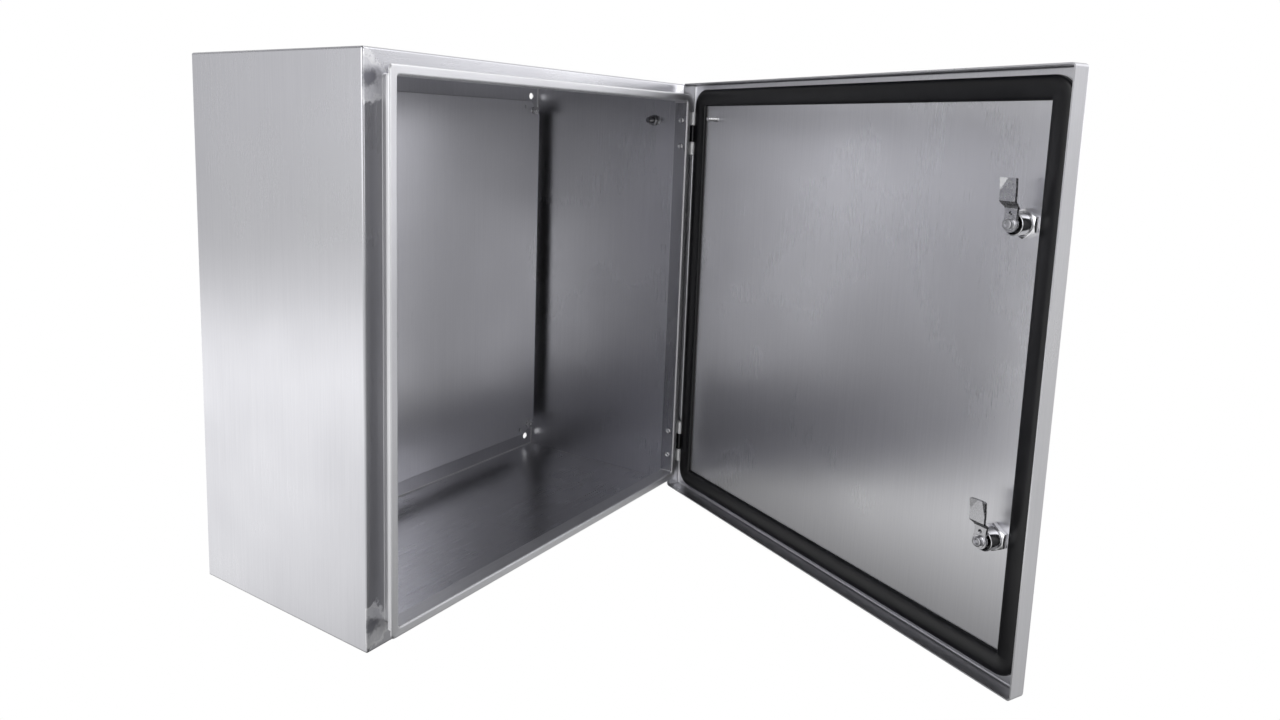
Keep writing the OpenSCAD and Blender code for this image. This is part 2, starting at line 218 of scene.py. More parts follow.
def rounded_rectangle(half_w, half_h, radius, steps, cuts=0):
    """Points round a rectangle with round corners, with cuts extra points along each side."""
    corners = []
    for turn, (sx, sz) in enumerate(((1, 1), (-1, 1), (-1, -1), (1, -1))):
        x, z = sx * (half_w - radius), sz * (half_h - radius)
        corners.append(arc(x, z, radius, 90 * turn, 90 * turn + 90, steps))
    ring = []
    for here, following in zip(corners, corners[1:] + corners[:1]):
        (x0, z0), (x1, z1) = here[-1], following[0]
        ring += here
        ring += [(mix(x0, x1, k / (cuts + 1)), mix(z0, z1, k / (cuts + 1))) for k in range(1, cuts + 1)]
    return ring


def folded(path, radii, steps=6):
    """The two sides of a sheet folded along a centre line of (inset, depth) points."""
    points = [Vector(p) for p in path]
    left, right = [], []

    def lay(centre, normal):
        left.append(tuple(centre + normal * SHEET / 2))
        right.append(tuple(centre - normal * SHEET / 2))

    def normal_of(d):
        return Vector((-d.y, d.x))

    lay(points[0], normal_of((points[1] - points[0]).normalized()))
    for before, p, after, r in zip(points, points[1:], points[2:], radii):
        a = (p - before).normalized()
        b = (after - p).normalized()
        turn = -a.angle_signed(b)
        side = math.copysign(1, turn)
        start = p - a * r * math.tan(abs(turn) / 2)
        centre = start + normal_of(a) * side * r
        for k in range(steps + 1):
            n = normal_of(a)
            n.rotate(Matrix.Rotation(turn * k / steps, 2))
            lay(centre - n * side * r, n)
    lay(points[-1], normal_of((points[-1] - points[-2]).normalized()))
    return left, right


def sweep(bm, section, corner, half_w, half_h, steps=5, cuts=0, closed=True):
    """Carries a section of (inset, depth) points round a rectangle and returns its rings.

    corner gives the corner radius at a point of the section.
    """
    rings = []
    for inset, y in section:
        points = rounded_rectangle(half_w - inset, half_h - inset, corner(inset, y), steps, cuts)
        rings.append([bm.verts.new((x, y, z)) for x, z in points])
    for one, two in zip(rings, rings[1:]):
        bridge(bm, one, two)
    if closed:
        bridge(bm, rings[-1], rings[0])
    return rings


def fill(bm, loops):
    """Flat face between an outer ring and the rings of its holes."""
    edges = []
    for loop in loops:
        for v, w in zip(loop, loop[1:] + loop[:1]):
            edges.append(bm.edges.get((v, w)) or bm.edges.new((v, w)))
    bmesh.ops.triangle_fill(bm, edges=edges, use_beauty=True, use_dissolve=False)


def shrunk(points, d):
    """Outline, drawn counterclockwise, moved inwards by d, or outwards where d is negative."""
    out = []
    for a, b, c in zip(points[-1:] + points[:-1], points, points[1:] + points[:1]):
        u = (Vector(b) - Vector(a)).normalized()
        v = (Vector(c) - Vector(b)).normalized()
        n = Vector((-u.y - v.y, u.x + v.x))
        out.append(tuple(Vector(b) + n * d / (1 + u.dot(v))))
    return out


def across(u, v, d):
    """Outline in width and height, thickness along Y."""
    return u, d, v


def upright(u, v, d):
    """Outline seen from above, thickness along Z."""
    return u, v, d


def sideways(u, v, d):
    """Outline in depth and height, thickness along X."""
    return d, u, v


def plate(bm, outline, holes, low, high, edge=CUT_EDGE, place=across, finish=0):
    """Plate between two depths, its cut edges and holes broken by edge."""
    faces = ([], [])
    for points, inwards in [(outline, edge)] + [(h, -edge) for h in holes]:
        small = shrunk(points, inwards)
        levels = ((small, low), (points, low + edge), (points, high - edge), (small, high))
        rings = [[bm.verts.new(place(u, v, d)) for u, v in ring] for ring, d in levels]
        for one, two in zip(rings, rings[1:]):
            bridge(bm, one, two, finish)
        faces[0].append(rings[0])
        faces[1].append(rings[-1])
    for loops in faces:
        fill(bm, loops)


def facing(point, axis, degrees):
    """Places a turned shape at a point, its own axis swung from Z round axis."""
    return Matrix.Translation(point) @ Matrix.Rotation(math.radians(degrees), 4, axis)


def spin(bm, rings, spot, count=48, hollow=False, sunk=()):
    """Turned shape from rings of (radius, height), each fixed or a function of the angle.

    The bands in sunk take the piece's second material.
    """
    loops = []
    for ring in rings:
        loop = []
        for k in range(count):
            a = 2 * math.pi * k / count
            r, h = ring(a) if callable(ring) else ring
            loop.append(bm.verts.new(spot @ Vector((r * math.cos(a), r * math.sin(a), h))))
        loops.append(loop)
    for i, (one, two) in enumerate(zip(loops, loops[1:])):
        bridge(bm, one, two, 1 if i in sunk else 0)
    if hollow:
        bridge(bm, loops[-1], loops[0])
    else:
        bm.faces.new(loops[0])
        bm.faces.new(loops[-1])


def hexagon(flats, turn=0.0):
    """Radius of a hexagon at an angle, one corner standing at turn."""
    def radius(a):
        return flats / 2 / math.cos((a - turn) % (math.pi / 3) - math.pi / 6)
    return radius


def washer(inner, outer, low, high):
    """Rings of a flat washer with broken edges."""
    c = min(0.25 * MM, (high - low) / 3)
    return [(inner + c, low), (outer - c, low), (outer, low + c), (outer, high - c),
            (outer - c, high), (inner + c, high), (inner, high - c), (inner, low + c)]


def nut(flats, bore, low, high, turn=0.0):
    """Hexagon nut with turned, 30 degree chamfers on both faces."""
    side = hexagon(flats, turn)
    face = 0.97 * flats / 2
    fall = math.tan(math.radians(30))
    c = min(0.1 * bore, 0.3 * (flats / 2 - bore))

    def lower(a):
        return side(a), low + (side(a) - face) * fall

    def upper(a):
        return side(a), high - (side(a) - face) * fall

    return [(bore + c, low), (face, low), lower, upper, (face, high), (bore + c, high),
            (bore, high - c), (bore, low + c)]


def thread(radius, pitch, low, high):
    """Rings of a screw thread that runs out at both ends, with a chamfered tip."""
    depth = 0.54 * pitch
    rows = round(6 * (high - low) / pitch)

    def row(h):
        fade = max(0.0, min(1.0, (h - low) / pitch, (high - h) / pitch))

        def ring(a):
            phase = (h / pitch - a / (2 * math.pi)) % 1
            crest = min(1.0, 1.3 * abs(2 * phase - 1))
            return radius - depth * fade * (1 - crest), h
        return ring

    body = [row(mix(low, high - depth, k / rows)) for k in range(rows + 1)]
    return [(radius, low)] + body[1:] + [(radius - depth, high)]


def lay_grain(bm, turn_front=False):
    """Writes the grain's directions: u runs across it and v along it, in metres."""
    bm.normal_update()
    layer = bm.loops.layers.uv.new("grain")
    for face in bm.faces:
        n = face.normal
        c = face.calc_center_median()
        ax, ay, az = abs(n.x), abs(n.y), abs(n.z)
        strip = turn_front and abs(c.z) / HALF_H > abs(c.x) / HALF_W
        for loop in face.loops:
            p = loop.vert.co
            if az >= ax and az >= ay:
                uv = (p.y, p.x)
            elif ax >= ay:
                uv = (p.y, p.z)
            elif strip:
                uv = (p.z, p.x)
            else:
                uv = (p.x, p.z)
            loop[layer].uv = uv


# ---------------------------------------------------------------- materials

class Paint:
    """A Principled material and short calls for the nodes round it."""

    def __init__(self, name, metallic, colour, rough):
        self.material = bpy.data.materials.new(name)
        self.material.use_nodes = True
        self.tree = self.material.node_tree
        self.shader = self.tree.nodes["Principled BSDF"]
        self.shader.inputs["Metallic"].default_value = metallic
        self.shader.inputs["Base Color"].default_value = (*colour, 1)
        self.shader.inputs["Roughness"].default_value = rough
        self.solid = self.tree.nodes.new("ShaderNodeTexCoord").outputs["Object"]

    def node(self, kind, **inputs):
        """Adds a node and feeds its inputs, with _ for a space in their names."""
        made = self.tree.nodes.new(kind)
        for key, value in inputs.items():
            self.feed(made.inputs[key.replace("_", " ")], value)
        return made

    def feed(self, socket, value):
        """Links or sets a socket."""
        if isinstance(value, bpy.types.NodeSocket):
            self.tree.links.new(value, socket)
        else:
            socket.default_value = value

    def shade(self, **inputs):
        """Feeds inputs of the Principled shader."""
        for key, value in inputs.items():
            self.feed(self.shader.inputs[key.replace("_", " ")], value)

    def stretch(self, vector, scale):
        return self.node("ShaderNodeMapping", Vector=vector, Scale=scale).outputs["Vector"]

    def noise(self, vector, scale, detail=2.0, rough=0.5, warp=0.0):
        made = self.node("ShaderNodeTexNoise", Vector=vector, Scale=scale, Detail=detail,
                         Roughness=rough, Distortion=warp)
        return made.outputs["Fac"]

    def span(self, value, low, high, to_low, to_high, smooth=False):
        """Maps value from low..high to to_low..to_high, held at the ends."""
        made = self.node("ShaderNodeMapRange", Value=value, From_Min=low, From_Max=high,
                         To_Min=to_low, To_Max=to_high)
        if smooth:
            made.interpolation_type = "SMOOTHSTEP"
        return made.outputs["Result"]

    def sum(self, one, two, how="ADD"):
        """Adds two values, or joins them by another operation."""
        made = self.tree.nodes.new("ShaderNodeMath")
        made.operation = how
        self.feed(made.inputs[0], one)
        self.feed(made.inputs[1], two)
        return made.outputs["Value"]

    def times(self, one, two):
        return self.sum(one, two, "MULTIPLY")

    def blend(self, factor, dark, light):
        """Colour between dark at 0 and light at 1."""
        made = self.tree.nodes.new("ShaderNodeMix")
        made.data_type = "RGBA"
        self.feed(made.inputs["Factor"], factor)
        for socket, value in ((made.inputs[6], dark), (made.inputs[7], light)):
            self.feed(socket, (*value, 1) if isinstance(value, tuple) else value)
        return made.outputs[2]

    def bump(self, height, strength, distance):
        made = self.node("ShaderNodeBump", Height=height, Strength=strength, Distance=distance)
        return made.outputs["Normal"]

    def near(self, centre, inner, outer):
        """One on the front face within inner of a point in each corner, none beyond outer."""
        flat = self.tree.nodes.new("ShaderNodeSeparateXYZ")
        self.feed(flat.inputs[0], self.solid)
        behind = FRONT + 1.2 * MM
        front = self.span(flat.outputs["Y"], behind, behind + MM, 1.0, 0.0)
        folded_place = self.tree.nodes.new("ShaderNodeVectorMath")
        folded_place.operation = "ABSOLUTE"
        self.feed(folded_place.inputs[0], self.solid)
        reach = self.tree.nodes.new("ShaderNodeVectorMath")
        reach.operation = "DISTANCE"
        self.feed(reach.inputs[0], folded_place.outputs["Vector"])
        self.feed(reach.inputs[1], centre)
        wander = self.span(self.noise(self.solid, 90.0, 3.0, 0.6), 0.3, 0.7, -6 * MM, 6 * MM)
        reached = self.sum(reach.outputs["Value"], wander)
        return self.times(front, self.span(reached, inner, outer, 1.0, 0.0, True))


def brushed(name, dark, light, rough, ground=None):
    """Brushed stainless sheet: fine grain along v, clouds and handling marks.

    With ground, each front corner has a weld ground smooth round that point, mirrored: a
    bright swirled patch with a lighter border and a dark smudge in it.
    """
    p = Paint(name, 1.0, light, rough)
    flat = p.tree.nodes.new("ShaderNodeUVMap")
    flat.uv_map = "grain"
    flat = flat.outputs["UV"]
    fine = p.noise(p.stretch(flat, (2600, 30, 1)), 1.0, 2.0, 0.6)
    coarse = p.noise(p.stretch(flat, (420, 5, 1)), 1.0, 3.0, 0.6)
    clouds = p.noise(p.solid, 5.0, 2.0, 0.45)
    patches = p.noise(p.solid, 17.0, 2.0, 0.5)
    marks = p.span(p.noise(p.stretch(flat, (500, 9, 1)), 1.0, 2.0, 0.5), 0.68, 0.8, 0, 1)
    lines = p.sum(p.span(fine, 0.3, 0.7, 0, 0.5), p.span(coarse, 0.3, 0.7, 0, 0.5))
    tone = p.sum(p.times(lines, 0.4), p.span(clouds, 0.3, 0.7, 0, 0.5))
    tone = p.sum(tone, p.times(marks, 0.03))
    colour = p.blend(p.span(tone, 0, 0.9, 0, 1), dark, light)
    dull = p.sum(p.span(clouds, 0.3, 0.7, rough + 0.03, rough - 0.03),
                 p.sum(p.span(patches, 0.3, 0.7, -0.01, 0.01), p.times(lines, -0.03)))
    height = lines
    if ground:
        patch = p.near(ground, 16 * MM, 24 * MM)
        border = p.times(p.times(patch, p.sum(1.0, patch, "SUBTRACT")), 3.0)
        smudge = p.near(ground, 2 * MM, 13 * MM)
        swirl = p.noise(p.stretch(p.solid, (900, 1, 120)), 1.0, 2.0, 0.6, 1.5)
        colour = p.blend(patch, colour, p.blend(swirl, (0.66, 0.66, 0.69), (0.84, 0.84, 0.86)))
        colour = p.blend(p.times(smudge, 0.9), colour, (0.25, 0.25, 0.28))
        colour = p.blend(border, colour, (0.95, 0.95, 0.96))
        dull = p.sum(dull, p.times(patch, 0.16))
        height = p.sum(height, p.times(swirl, patch))
    p.shade(Base_Color=colour, Roughness=dull)
    tangent = p.tree.nodes.new("ShaderNodeTangent")
    tangent.direction_type = "UV_MAP"
    tangent.uv_map = "grain"
    p.shade(Anisotropic=0.5, Tangent=tangent.outputs["Tangent"])
    p.shade(Normal=p.bump(height, 0.05, 0.0002))
    return p.material


def plated(name, dark, light, rough, dents=0.05, metallic=1.0):
    """Plated or turned hardware: faint mottling, handling marks and fine pits."""
    p = Paint(name, metallic, light, rough)
    mottle = p.noise(p.solid, 260.0, 3.0, 0.6)
    pits = p.noise(p.solid, 1400.0, 2.0, 0.5)
    p.shade(Base_Color=p.blend(p.span(mottle, 0.35, 0.7, 0, 1), dark, light))
    dull = p.span(mottle, 0.3, 0.7, rough - 0.03, rough + 0.05)
    p.shade(Roughness=p.sum(dull, p.span(pits, 0.4, 0.7, 0, 0.03)))
    p.shade(Normal=p.bump(p.sum(mottle, pits), dents, 0.0001))
    return p.material


def sheared_and_highlit(name):
    """Cut and deburred sheet edges, and weld beads: bright and evenly dull; on the rim's fold and on
    the weld bead round the back panel this brightness is a painted highlight.
    """
    p = Paint(name, 0.7, (0.9, 0.9, 0.92), 0.5)
    file_marks = p.noise(p.solid, 700.0, 2.0, 0.6)
    wear = p.span(file_marks, 0.3, 0.7, 0, 1)
    p.shade(Base_Color=p.blend(wear, (0.78, 0.78, 0.8), (0.95, 0.95, 0.96)))
    p.shade(Normal=p.bump(file_marks, 0.15, 0.0002))
    return p.material


def rubber(name):
    """Foamed seal: near black, matt skin with fine pores and a dusty bloom."""
    p = Paint(name, 0.0, (0.004, 0.004, 0.005), 0.4)
    skin = p.noise(p.solid, 900.0, 2.0, 0.6)
    bloom = p.noise(p.solid, 25.0, 3.0, 0.6, 0.5)
    dust = p.span(bloom, 0.35, 0.75, 0, 1)
    p.shade(Base_Color=p.blend(dust, (0.002, 0.002, 0.003), (0.006, 0.006, 0.008)))
    p.shade(Roughness=p.span(bloom, 0.3, 0.7, 0.28, 0.36), Specular_IOR_Level=0.45)
    p.shade(Normal=p.bump(skin, 0.12, 0.0002))
    return p.material


def black_plastic_and_shade(name):
    """Moulded gloss black with faint flow marks; in the lock barrels' counterbores it is painted shade.
    """
    p = Paint(name, 0.0, (0.008, 0.008, 0.009), 0.3)
    flow = p.noise(p.stretch(p.solid, (1, 1, 0.3)), 160.0, 2.0, 0.5, 0.6)
    p.shade(Base_Color=p.blend(flow, (0.004, 0.004, 0.005), (0.010, 0.010, 0.011)))
    p.shade(Roughness=p.span(flow, 0.3, 0.7, 0.14, 0.26))
    p.shade(Normal=p.bump(flow, 0.1, 0.0002))
    return p.material


def make_materials():
    """Every material by a short name.

    The side flanges and the lip's upright sides are darker copies of the same sheet, painted shade, and
    the rim is a lighter copy, a painted highlight.
    """
    return {
        "body": brushed("body_sheet", (0.60, 0.60, 0.63), (0.74, 0.74, 0.77), 0.30, ground=GROUND),
        # Flange sheet: the body's sheet darkened as painted shade; its weld grinds are real
        "flange": brushed("flange_sheet_painted_shade", (0.33, 0.33, 0.35), (0.43, 0.43, 0.45), 0.30, ground=GROUND),
        "back": brushed("back_sheet", (0.58, 0.58, 0.61), (0.72, 0.72, 0.75), 0.31),
        # Rim sheet: lighter than the sheet it is folded from, a painted highlight, and rougher
        "rim": brushed("rim_sheet", (0.77, 0.77, 0.79), (0.91, 0.91, 0.93), 0.44),
        # Lip sheet: the sheet darkened for the lip's upright walls, painted shade
        "lip": brushed("lip_sheet_painted_shade", (0.36, 0.36, 0.38), (0.50, 0.50, 0.52), 0.28),
        "door": brushed("door_sheet", (0.68, 0.68, 0.705), (0.82, 0.82, 0.845), 0.31),
        "plate": brushed("plate_sheet", (0.74, 0.74, 0.77), (0.88, 0.88, 0.91), 0.32),
        # Cut edge finish, also a painted highlight on the rim's fold and the back panel's weld bead
        "edge": sheared_and_highlit("cut_edge_and_painted_highlight"),
        "seal": rubber("seal_foam"),
        # Hinge steel: near white and mostly diffuse, a painted highlight in place of the knuckles'
        # mirror reflection
        "hinge": plated("hinge_steel", (0.92, 0.92, 0.93), (0.98, 0.98, 0.98), 0.3, metallic=0.15),
        # Black plastic of the hinge arms, also painted shade in the lock barrels' counterbores
        "black": black_plastic_and_shade("hinge_black"),
        "fixing": plated("fixing_steel", (0.66, 0.66, 0.67), (0.84, 0.84, 0.85), 0.18),
        "chrome": plated("lock_chrome", (0.80, 0.80, 0.82), (0.92, 0.92, 0.93), 0.13, dents=0.02),
        "screw": plated("lock_screw", (0.44, 0.44, 0.46), (0.58, 0.58, 0.60), 0.3, dents=0.03),
        "cam": plated("cam_steel", (0.54, 0.54, 0.56), (0.64, 0.64, 0.66), 0.24, dents=0.03),
        # Earth steel: much darker than the other fixings, painted shade
        "earth": plated("earth_steel", (0.18, 0.18, 0.19), (0.34, 0.34, 0.35), 0.2),
    }


# ---------------------------------------------------------------- sheet metal pieces

def shell_piece(m):
    """Four walls folded into the front flange, welded and ground at the corners."""
    bm = bmesh.new()
    end = MOUTH - SHEET / 2 - FOLD
    path = [(SHEET / 2, 0), (SHEET / 2, FRONT + SHEET / 2), (end, FRONT + SHEET / 2)]
    left, right = folded(path, [EDGE_R - SHEET / 2])
    lip_r = MOUTH_R + MOUTH - end

    def corner(inset, y):
        if inset < EDGE_R:
            return max(EDGE_R - inset, SHARP)
        return mix(SHARP, lip_r, (inset - EDGE_R) / (end - EDGE_R))

    sweep(bm, left + right[::-1], corner, HALF_W, HALF_H)
    lay_grain(bm, turn_front=True)
    for face in bm.faces:
        c = face.calc_center_median()
        # The side flanges take the darker flange sheet, painted shade
        if abs(face.normal.y) > 0.9 and abs(c.x) > abs(c.z):
            face.material_index = 1
    add("cabinet_shell", bm, "cabinet", "body_shell", [m["body"], m["flange"]])


def rim_piece(m):
    """Lip, sealing rim and back-turned hem, folded from the flange, with a painted highlight on the
    rim's fold.
    """
    bm = bmesh.new()
    start = MOUTH - SHEET / 2 - FOLD
    path = [
        (start, FRONT + SHEET / 2), (MOUTH - SHEET / 2, FRONT + SHEET / 2),
        (MOUTH - SHEET / 2, RIM_Y + SHEET / 2), (RIM_INSET + SHEET / 2, RIM_Y + SHEET / 2),
        (RIM_INSET + SHEET / 2, RIM_Y + HEM),
    ]
    left, right = folded(path, [FOLD, RIM_FOLD, HEM_FOLD])

    def corner(inset, y):
        if y > RIM_Y + HEM + MM or inset > MOUTH - 2 * MM:
            return MOUTH_R + MOUTH - inset
        return mix(MOUTH_R + 2 * MM, RIM_R, (MOUTH - inset) / (MOUTH - RIM_INSET))

    sweep(bm, left + right[::-1], corner, HALF_W, HALF_H)
    lay_grain(bm, turn_front=True)
    for face in bm.faces:
        c = face.calc_center_median()
        inset = min(HALF_W - abs(c.x), HALF_H - abs(c.z))
        if inset <= MOUTH - FOLD:
            continue
        # The lip's upright walls take the darker lip sheet, painted shade; its top and bottom walls
        # keep the lighter rim sheet, a painted highlight
        if abs(face.normal.x) > 0.9:
            face.material_index = 1
        # The rim's fold takes the bright edge finish, a painted highlight
        elif c.y < RIM_Y + RIM_FOLD and abs(face.normal.y) < 0.95:
            face.material_index = 2
    piece = add("sealing_rim", bm, "cabinet", "front_rim",
                [m["rim"], m["lip"], m["edge"]])
    cut = rim_cutter()
    trim = piece.modifiers.new("relief cuts", "BOOLEAN")
    trim.operation = "DIFFERENCE"
    trim.object = cut
    trim.solver = "EXACT"
    piece.modifiers.move(1, 0)
    with bpy.context.temp_override(object=piece, active_object=piece, selected_objects=[piece]):
        bpy.ops.object.modifier_apply(modifier=trim.name)
    piece.data.shade_smooth()
    piece.data.set_sharp_from_angle(angle=math.radians(32))
    bpy.data.objects.remove(cut)


def box_into(bm, low, high):
    """Adds a box between two corners."""
    made = bmesh.ops.create_cube(bm, size=1)["verts"]
    bmesh.ops.scale(bm, vec=[high[i] - low[i] for i in range(3)], verts=made)
    bmesh.ops.translate(bm, vec=[(high[i] + low[i]) / 2 for i in range(3)], verts=made)


def rim_cutter():
    """Relief at the rim's corners and notches at the hinges."""
    bm = bmesh.new()
    x = HALF_W - RIM_INSET
    z = HALF_H - RIM_INSET
    y0, y1 = RIM_Y + SHEET, RIM_Y + HEM + MM
    for sx in (-1, 1):
        for sz in (-1, 1):
            xs = sorted((sx * (x - HEM_CLEAR), sx * (x + MM)))
            zs = sorted((sz * (z - HEM_CLEAR), sz * (z + MM)))
            box_into(bm, (xs[0], y0, zs[0]), (xs[1], y1, zs[1]))
    for side in ("upper", "lower"):
        at = middle(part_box(side + "_hinge_bracket")).z
        box_into(bm, (x - 2 * SHEET, y0, at - HEM_NOTCH), (x + MM, y1, at + HEM_NOTCH))
    mesh = bpy.data.meshes.new("cutter")
    bm.to_mesh(mesh)
    bm.free()
    cutter = bpy.data.objects.new("cutter", mesh)
    bpy.context.scene.collection.objects.link(cutter)
    return cutter


def back_piece(m):
    """Back panel with its four wall holes and a weld bead run round its inside edge."""
    bm = bmesh.new()
    low_y, high_y = BACK[0].y, BACK[1].y
    dims = MOUNTS["wall_holes"]["dims"]
    hx, hz = dims["spacing_x_mm"] * MM / 2, dims["spacing_y_mm"] * MM / 2
    bead = [(mix(0, WELD, 1 - math.cos(a)), low_y - WELD * (1 - math.sin(a)))
            for a in (math.radians(15 * k) for k in range(7))]
    section = [(0, high_y)] + bead
    rings = sweep(bm, section, lambda inset, y: SHARP, BACK[1].x, BACK[1].z, steps=1, closed=False)
    # The weld bead takes the bright edge finish, a painted highlight
    for face in list(bm.faces)[len(rings[0]):]:
        face.material_index = 1
    loops = ([rings[0]], [rings[-1]])
    for sx in (-1, 1):
        for sz in (-1, 1):
            ring = circle(sx * hx, sz * hz, dims["hole_r_mm"] * MM)
            pair = [[bm.verts.new((x, y, z)) for x, z in ring] for y in (high_y, low_y)]
            bridge(bm, pair[0], pair[1], 1)
            loops[0].append(pair[0])
            loops[1].append(pair[1])
    for group in loops:
        fill(bm, group)
    lay_grain(bm)
    add("wall_panel", bm, "cabinet", "back_panel", [m["back"], m["edge"]])


def plate_piece(m):
    """Mounting plate with cut corners, stud holes and fixing holes."""
    bm = bmesh.new()
    low, high = PLATE
    centre = middle(PLATE)
    w, h = (high.x - low.x) / 2, (high.z - low.z) / 2
    c = PLATE_CUT
    corners = [(w, -h + c), (w, h - c), (w - c, h), (-w + c, h),
               (-w, h - c), (-w, -h + c), (-w + c, -h), (w - c, -h)]
    outline = [(centre.x + x, centre.z + z) for x, z in corners]
    dims = MOUNTS["plate_holes"]["dims"]
    fx, fz = dims["spacing_x_mm"] * MM / 2, dims["spacing_y_mm"] * MM / 2
    holes = [circle(x, z, STUD_HOLE_R, 24) for x, z in stud_places()]
    for sx in (-1, 1):
        for sz in (-1, 1):
            holes.append(circle(sx * fx, centre.z + sz * fz, dims["hole_r_mm"] * MM, 24))
    plate(bm, outline, holes, low.y, high.y, PLATE_EDGE, finish=1)
    lay_grain(bm)
    add("equipment_plate", bm, "cabinet", "mounting_plate", [m["plate"], m["edge"]])


def door_piece(m):
    """Door tray: front sheet with two lock holes and four turned edges."""
    bm = bmesh.new()
    skin = DOOR_Y + SHEET / 2
    path = [(SHEET / 2, DOOR[1].y), (SHEET / 2, skin), (DOOR_FLAT, skin)]
    left, right = folded(path, [DOOR_R - SHEET / 2])

    def corner(inset, y):
        return max(DOOR_R - inset, 1.5 * SHARP)

    section = right[::-1] + left
    rings = sweep(bm, section, corner, HALF_W, HALF_H, closed=False)
    loops = ([rings[0]], [rings[-1]])
    for side in ("upper", "lower"):
        at = middle(shut_box(side + "_lock_housing"))
        ring = circle(at.x, at.z, BARREL_R, 48)
        pair = [[bm.verts.new((x, y, z)) for x, z in ring] for y in (section[0][1], section[-1][1])]
        bridge(bm, pair[0], pair[1])
        loops[0].append(pair[0])
        loops[1].append(pair[1])
    for group in loops:
        fill(bm, group)
    lay_grain(bm)
    add("door_tray", bm, "door", "door_panel", [m["door"]], SWING)


def seal_piece(m):
    """Foamed bead on the door, highest near its outer edge, with square inside corners."""
    bm = bmesh.new()
    inset = HALF_W - SEAL[1].x - SEAL_PROUD
    height = SEAL[1].y - DOOR_IN
    steps = 20
    section = []
    for k in range(steps + 1):
        a = math.pi * k / steps
        t = (1 - math.cos(a)) / 2
        fall = 1 - 0.35 * max(0.0, t - 0.25)
        section.append((inset + SEAL_W * t, DOOR_IN + height * fall * math.sin(a) ** 0.45))

    def corner(i, y):
        return max(SEAL_W - (i - inset), 2 * SHARP)

    rings = sweep(bm, section, corner, HALF_W, HALF_H, steps=10, cuts=90)
    for ring in rings[2:-2]:
        for v in ring:
            rise = (v.co.y - DOOR_IN) / height
            drop = noise.noise(v.co * 55) * 0.5 + noise.noise(v.co * 16) * 0.5 - 0.5
            v.co.y += SEAL_WAVE * rise * drop
    add("seal_bead", bm, "door", "door_seal", [m["seal"]], SWING, angle=60)


# ---------------------------------------------------------------- fixings of the body

def stud_places():
    """Centres of the four plate studs, in width and height."""
    low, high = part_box("plate_studs")
    r = M6_R
    return [(x, z) for x in (low.x + r, high.x - r) for z in (low.z + r, high.z - r)]


def plate_fixings(m):
    """Welded studs, washers and nuts that hold the mounting plate."""
    studs, rings, nuts = bmesh.new(), bmesh.new(), bmesh.new()
    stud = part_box("plate_studs")
    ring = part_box("plate_washers")
    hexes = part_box("plate_nuts")
    for x, z in stud_places():
        spot = facing((x, 0, z), "X", 90)
        spin(studs, thread(M6_R, M6_PITCH, -stud[1].y, -stud[0].y), spot, 24)
        spin(rings, washer(3.15 * MM, 2 * M6_R, -ring[1].y, -ring[0].y), spot, 40, hollow=True)
        spin(nuts, nut(M6_FLATS, M6_R, -hexes[1].y, -hexes[0].y), spot, 48, hollow=True)
    steel = [m["fixing"]]
    add("plate_stud_threads", studs, "cabinet", "plate_studs", steel, angle=50)
    add("plate_ring_washers", rings, "cabinet", "plate_washers", steel)
    add("plate_hex_nuts", nuts, "cabinet", "plate_nuts", steel)


def earth_point(m):
    """Earth stud, washer and nut on the hinge side wall."""
    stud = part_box("body_earth_stud")
    at = middle(stud)
    spot = facing((stud[1].x, at.y, at.z), "Y", -90)
    length = stud[1].x - stud[0].x
    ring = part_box("body_earth_washer")
    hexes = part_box("body_earth_nut")
    low, high = stud[1].x - hexes[1].x, stud[1].x - hexes[0].x
    shapes = (
        ("body_earth_thread", "body_earth_stud", thread(M8_R, M8_PITCH, 0, length), False),
        ("body_earth_ring", "body_earth_washer",
         washer(M8_R, 2 * M8_R, 0, ring[1].x - ring[0].x), True),
        ("body_earth_hex_nut", "body_earth_nut",
         nut(M8_FLATS, M8_R, low, high, math.pi / 6), True),
    )
    for name, node, rings, hollow in shapes:
        bm = bmesh.new()
        spin(bm, rings, spot, 48, hollow)
        # In the darker earth steel, painted shade
        add(name, bm, "cabinet", node, [m["earth"]], angle=40)


def door_earth(m):
    """Welded earth stud inside the door, with the collar left by the weld."""
    low, high = shut_box("door_earth_stud")
    at = middle((low, high))
    spot = facing((at.x, low.y, at.z), "X", -90)
    bm = bmesh.new()
    collar = [(3.9 * MM, 0), (3.9 * MM, 0.6 * MM), (3.5 * MM, MM), (M6_R, 1.2 * MM)]
    spin(bm, collar + thread(M6_R, M6_PITCH, 1.3 * MM, high.y - low.y), spot, 32)
    add("door_earth_thread", bm, "door", "door_earth_stud", [m["fixing"]],
        SWING, angle=50)


# ---------------------------------------------------------------- hinges

def hinge_pieces(side, m):
    """Bracket on the lip, wing on the door, their pin and the two screws."""
    hinge_arm(side, m)
    hinge_wing(side, m)
    hinge_rod(side, m)
    hinge_screws(side, m)


def screw_heights(side):
    """Heights of a hinge's two screws."""
    low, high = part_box(side + "_hinge_screws")
    return low.z + HINGE_HEAD_R, high.z - HINGE_HEAD_R


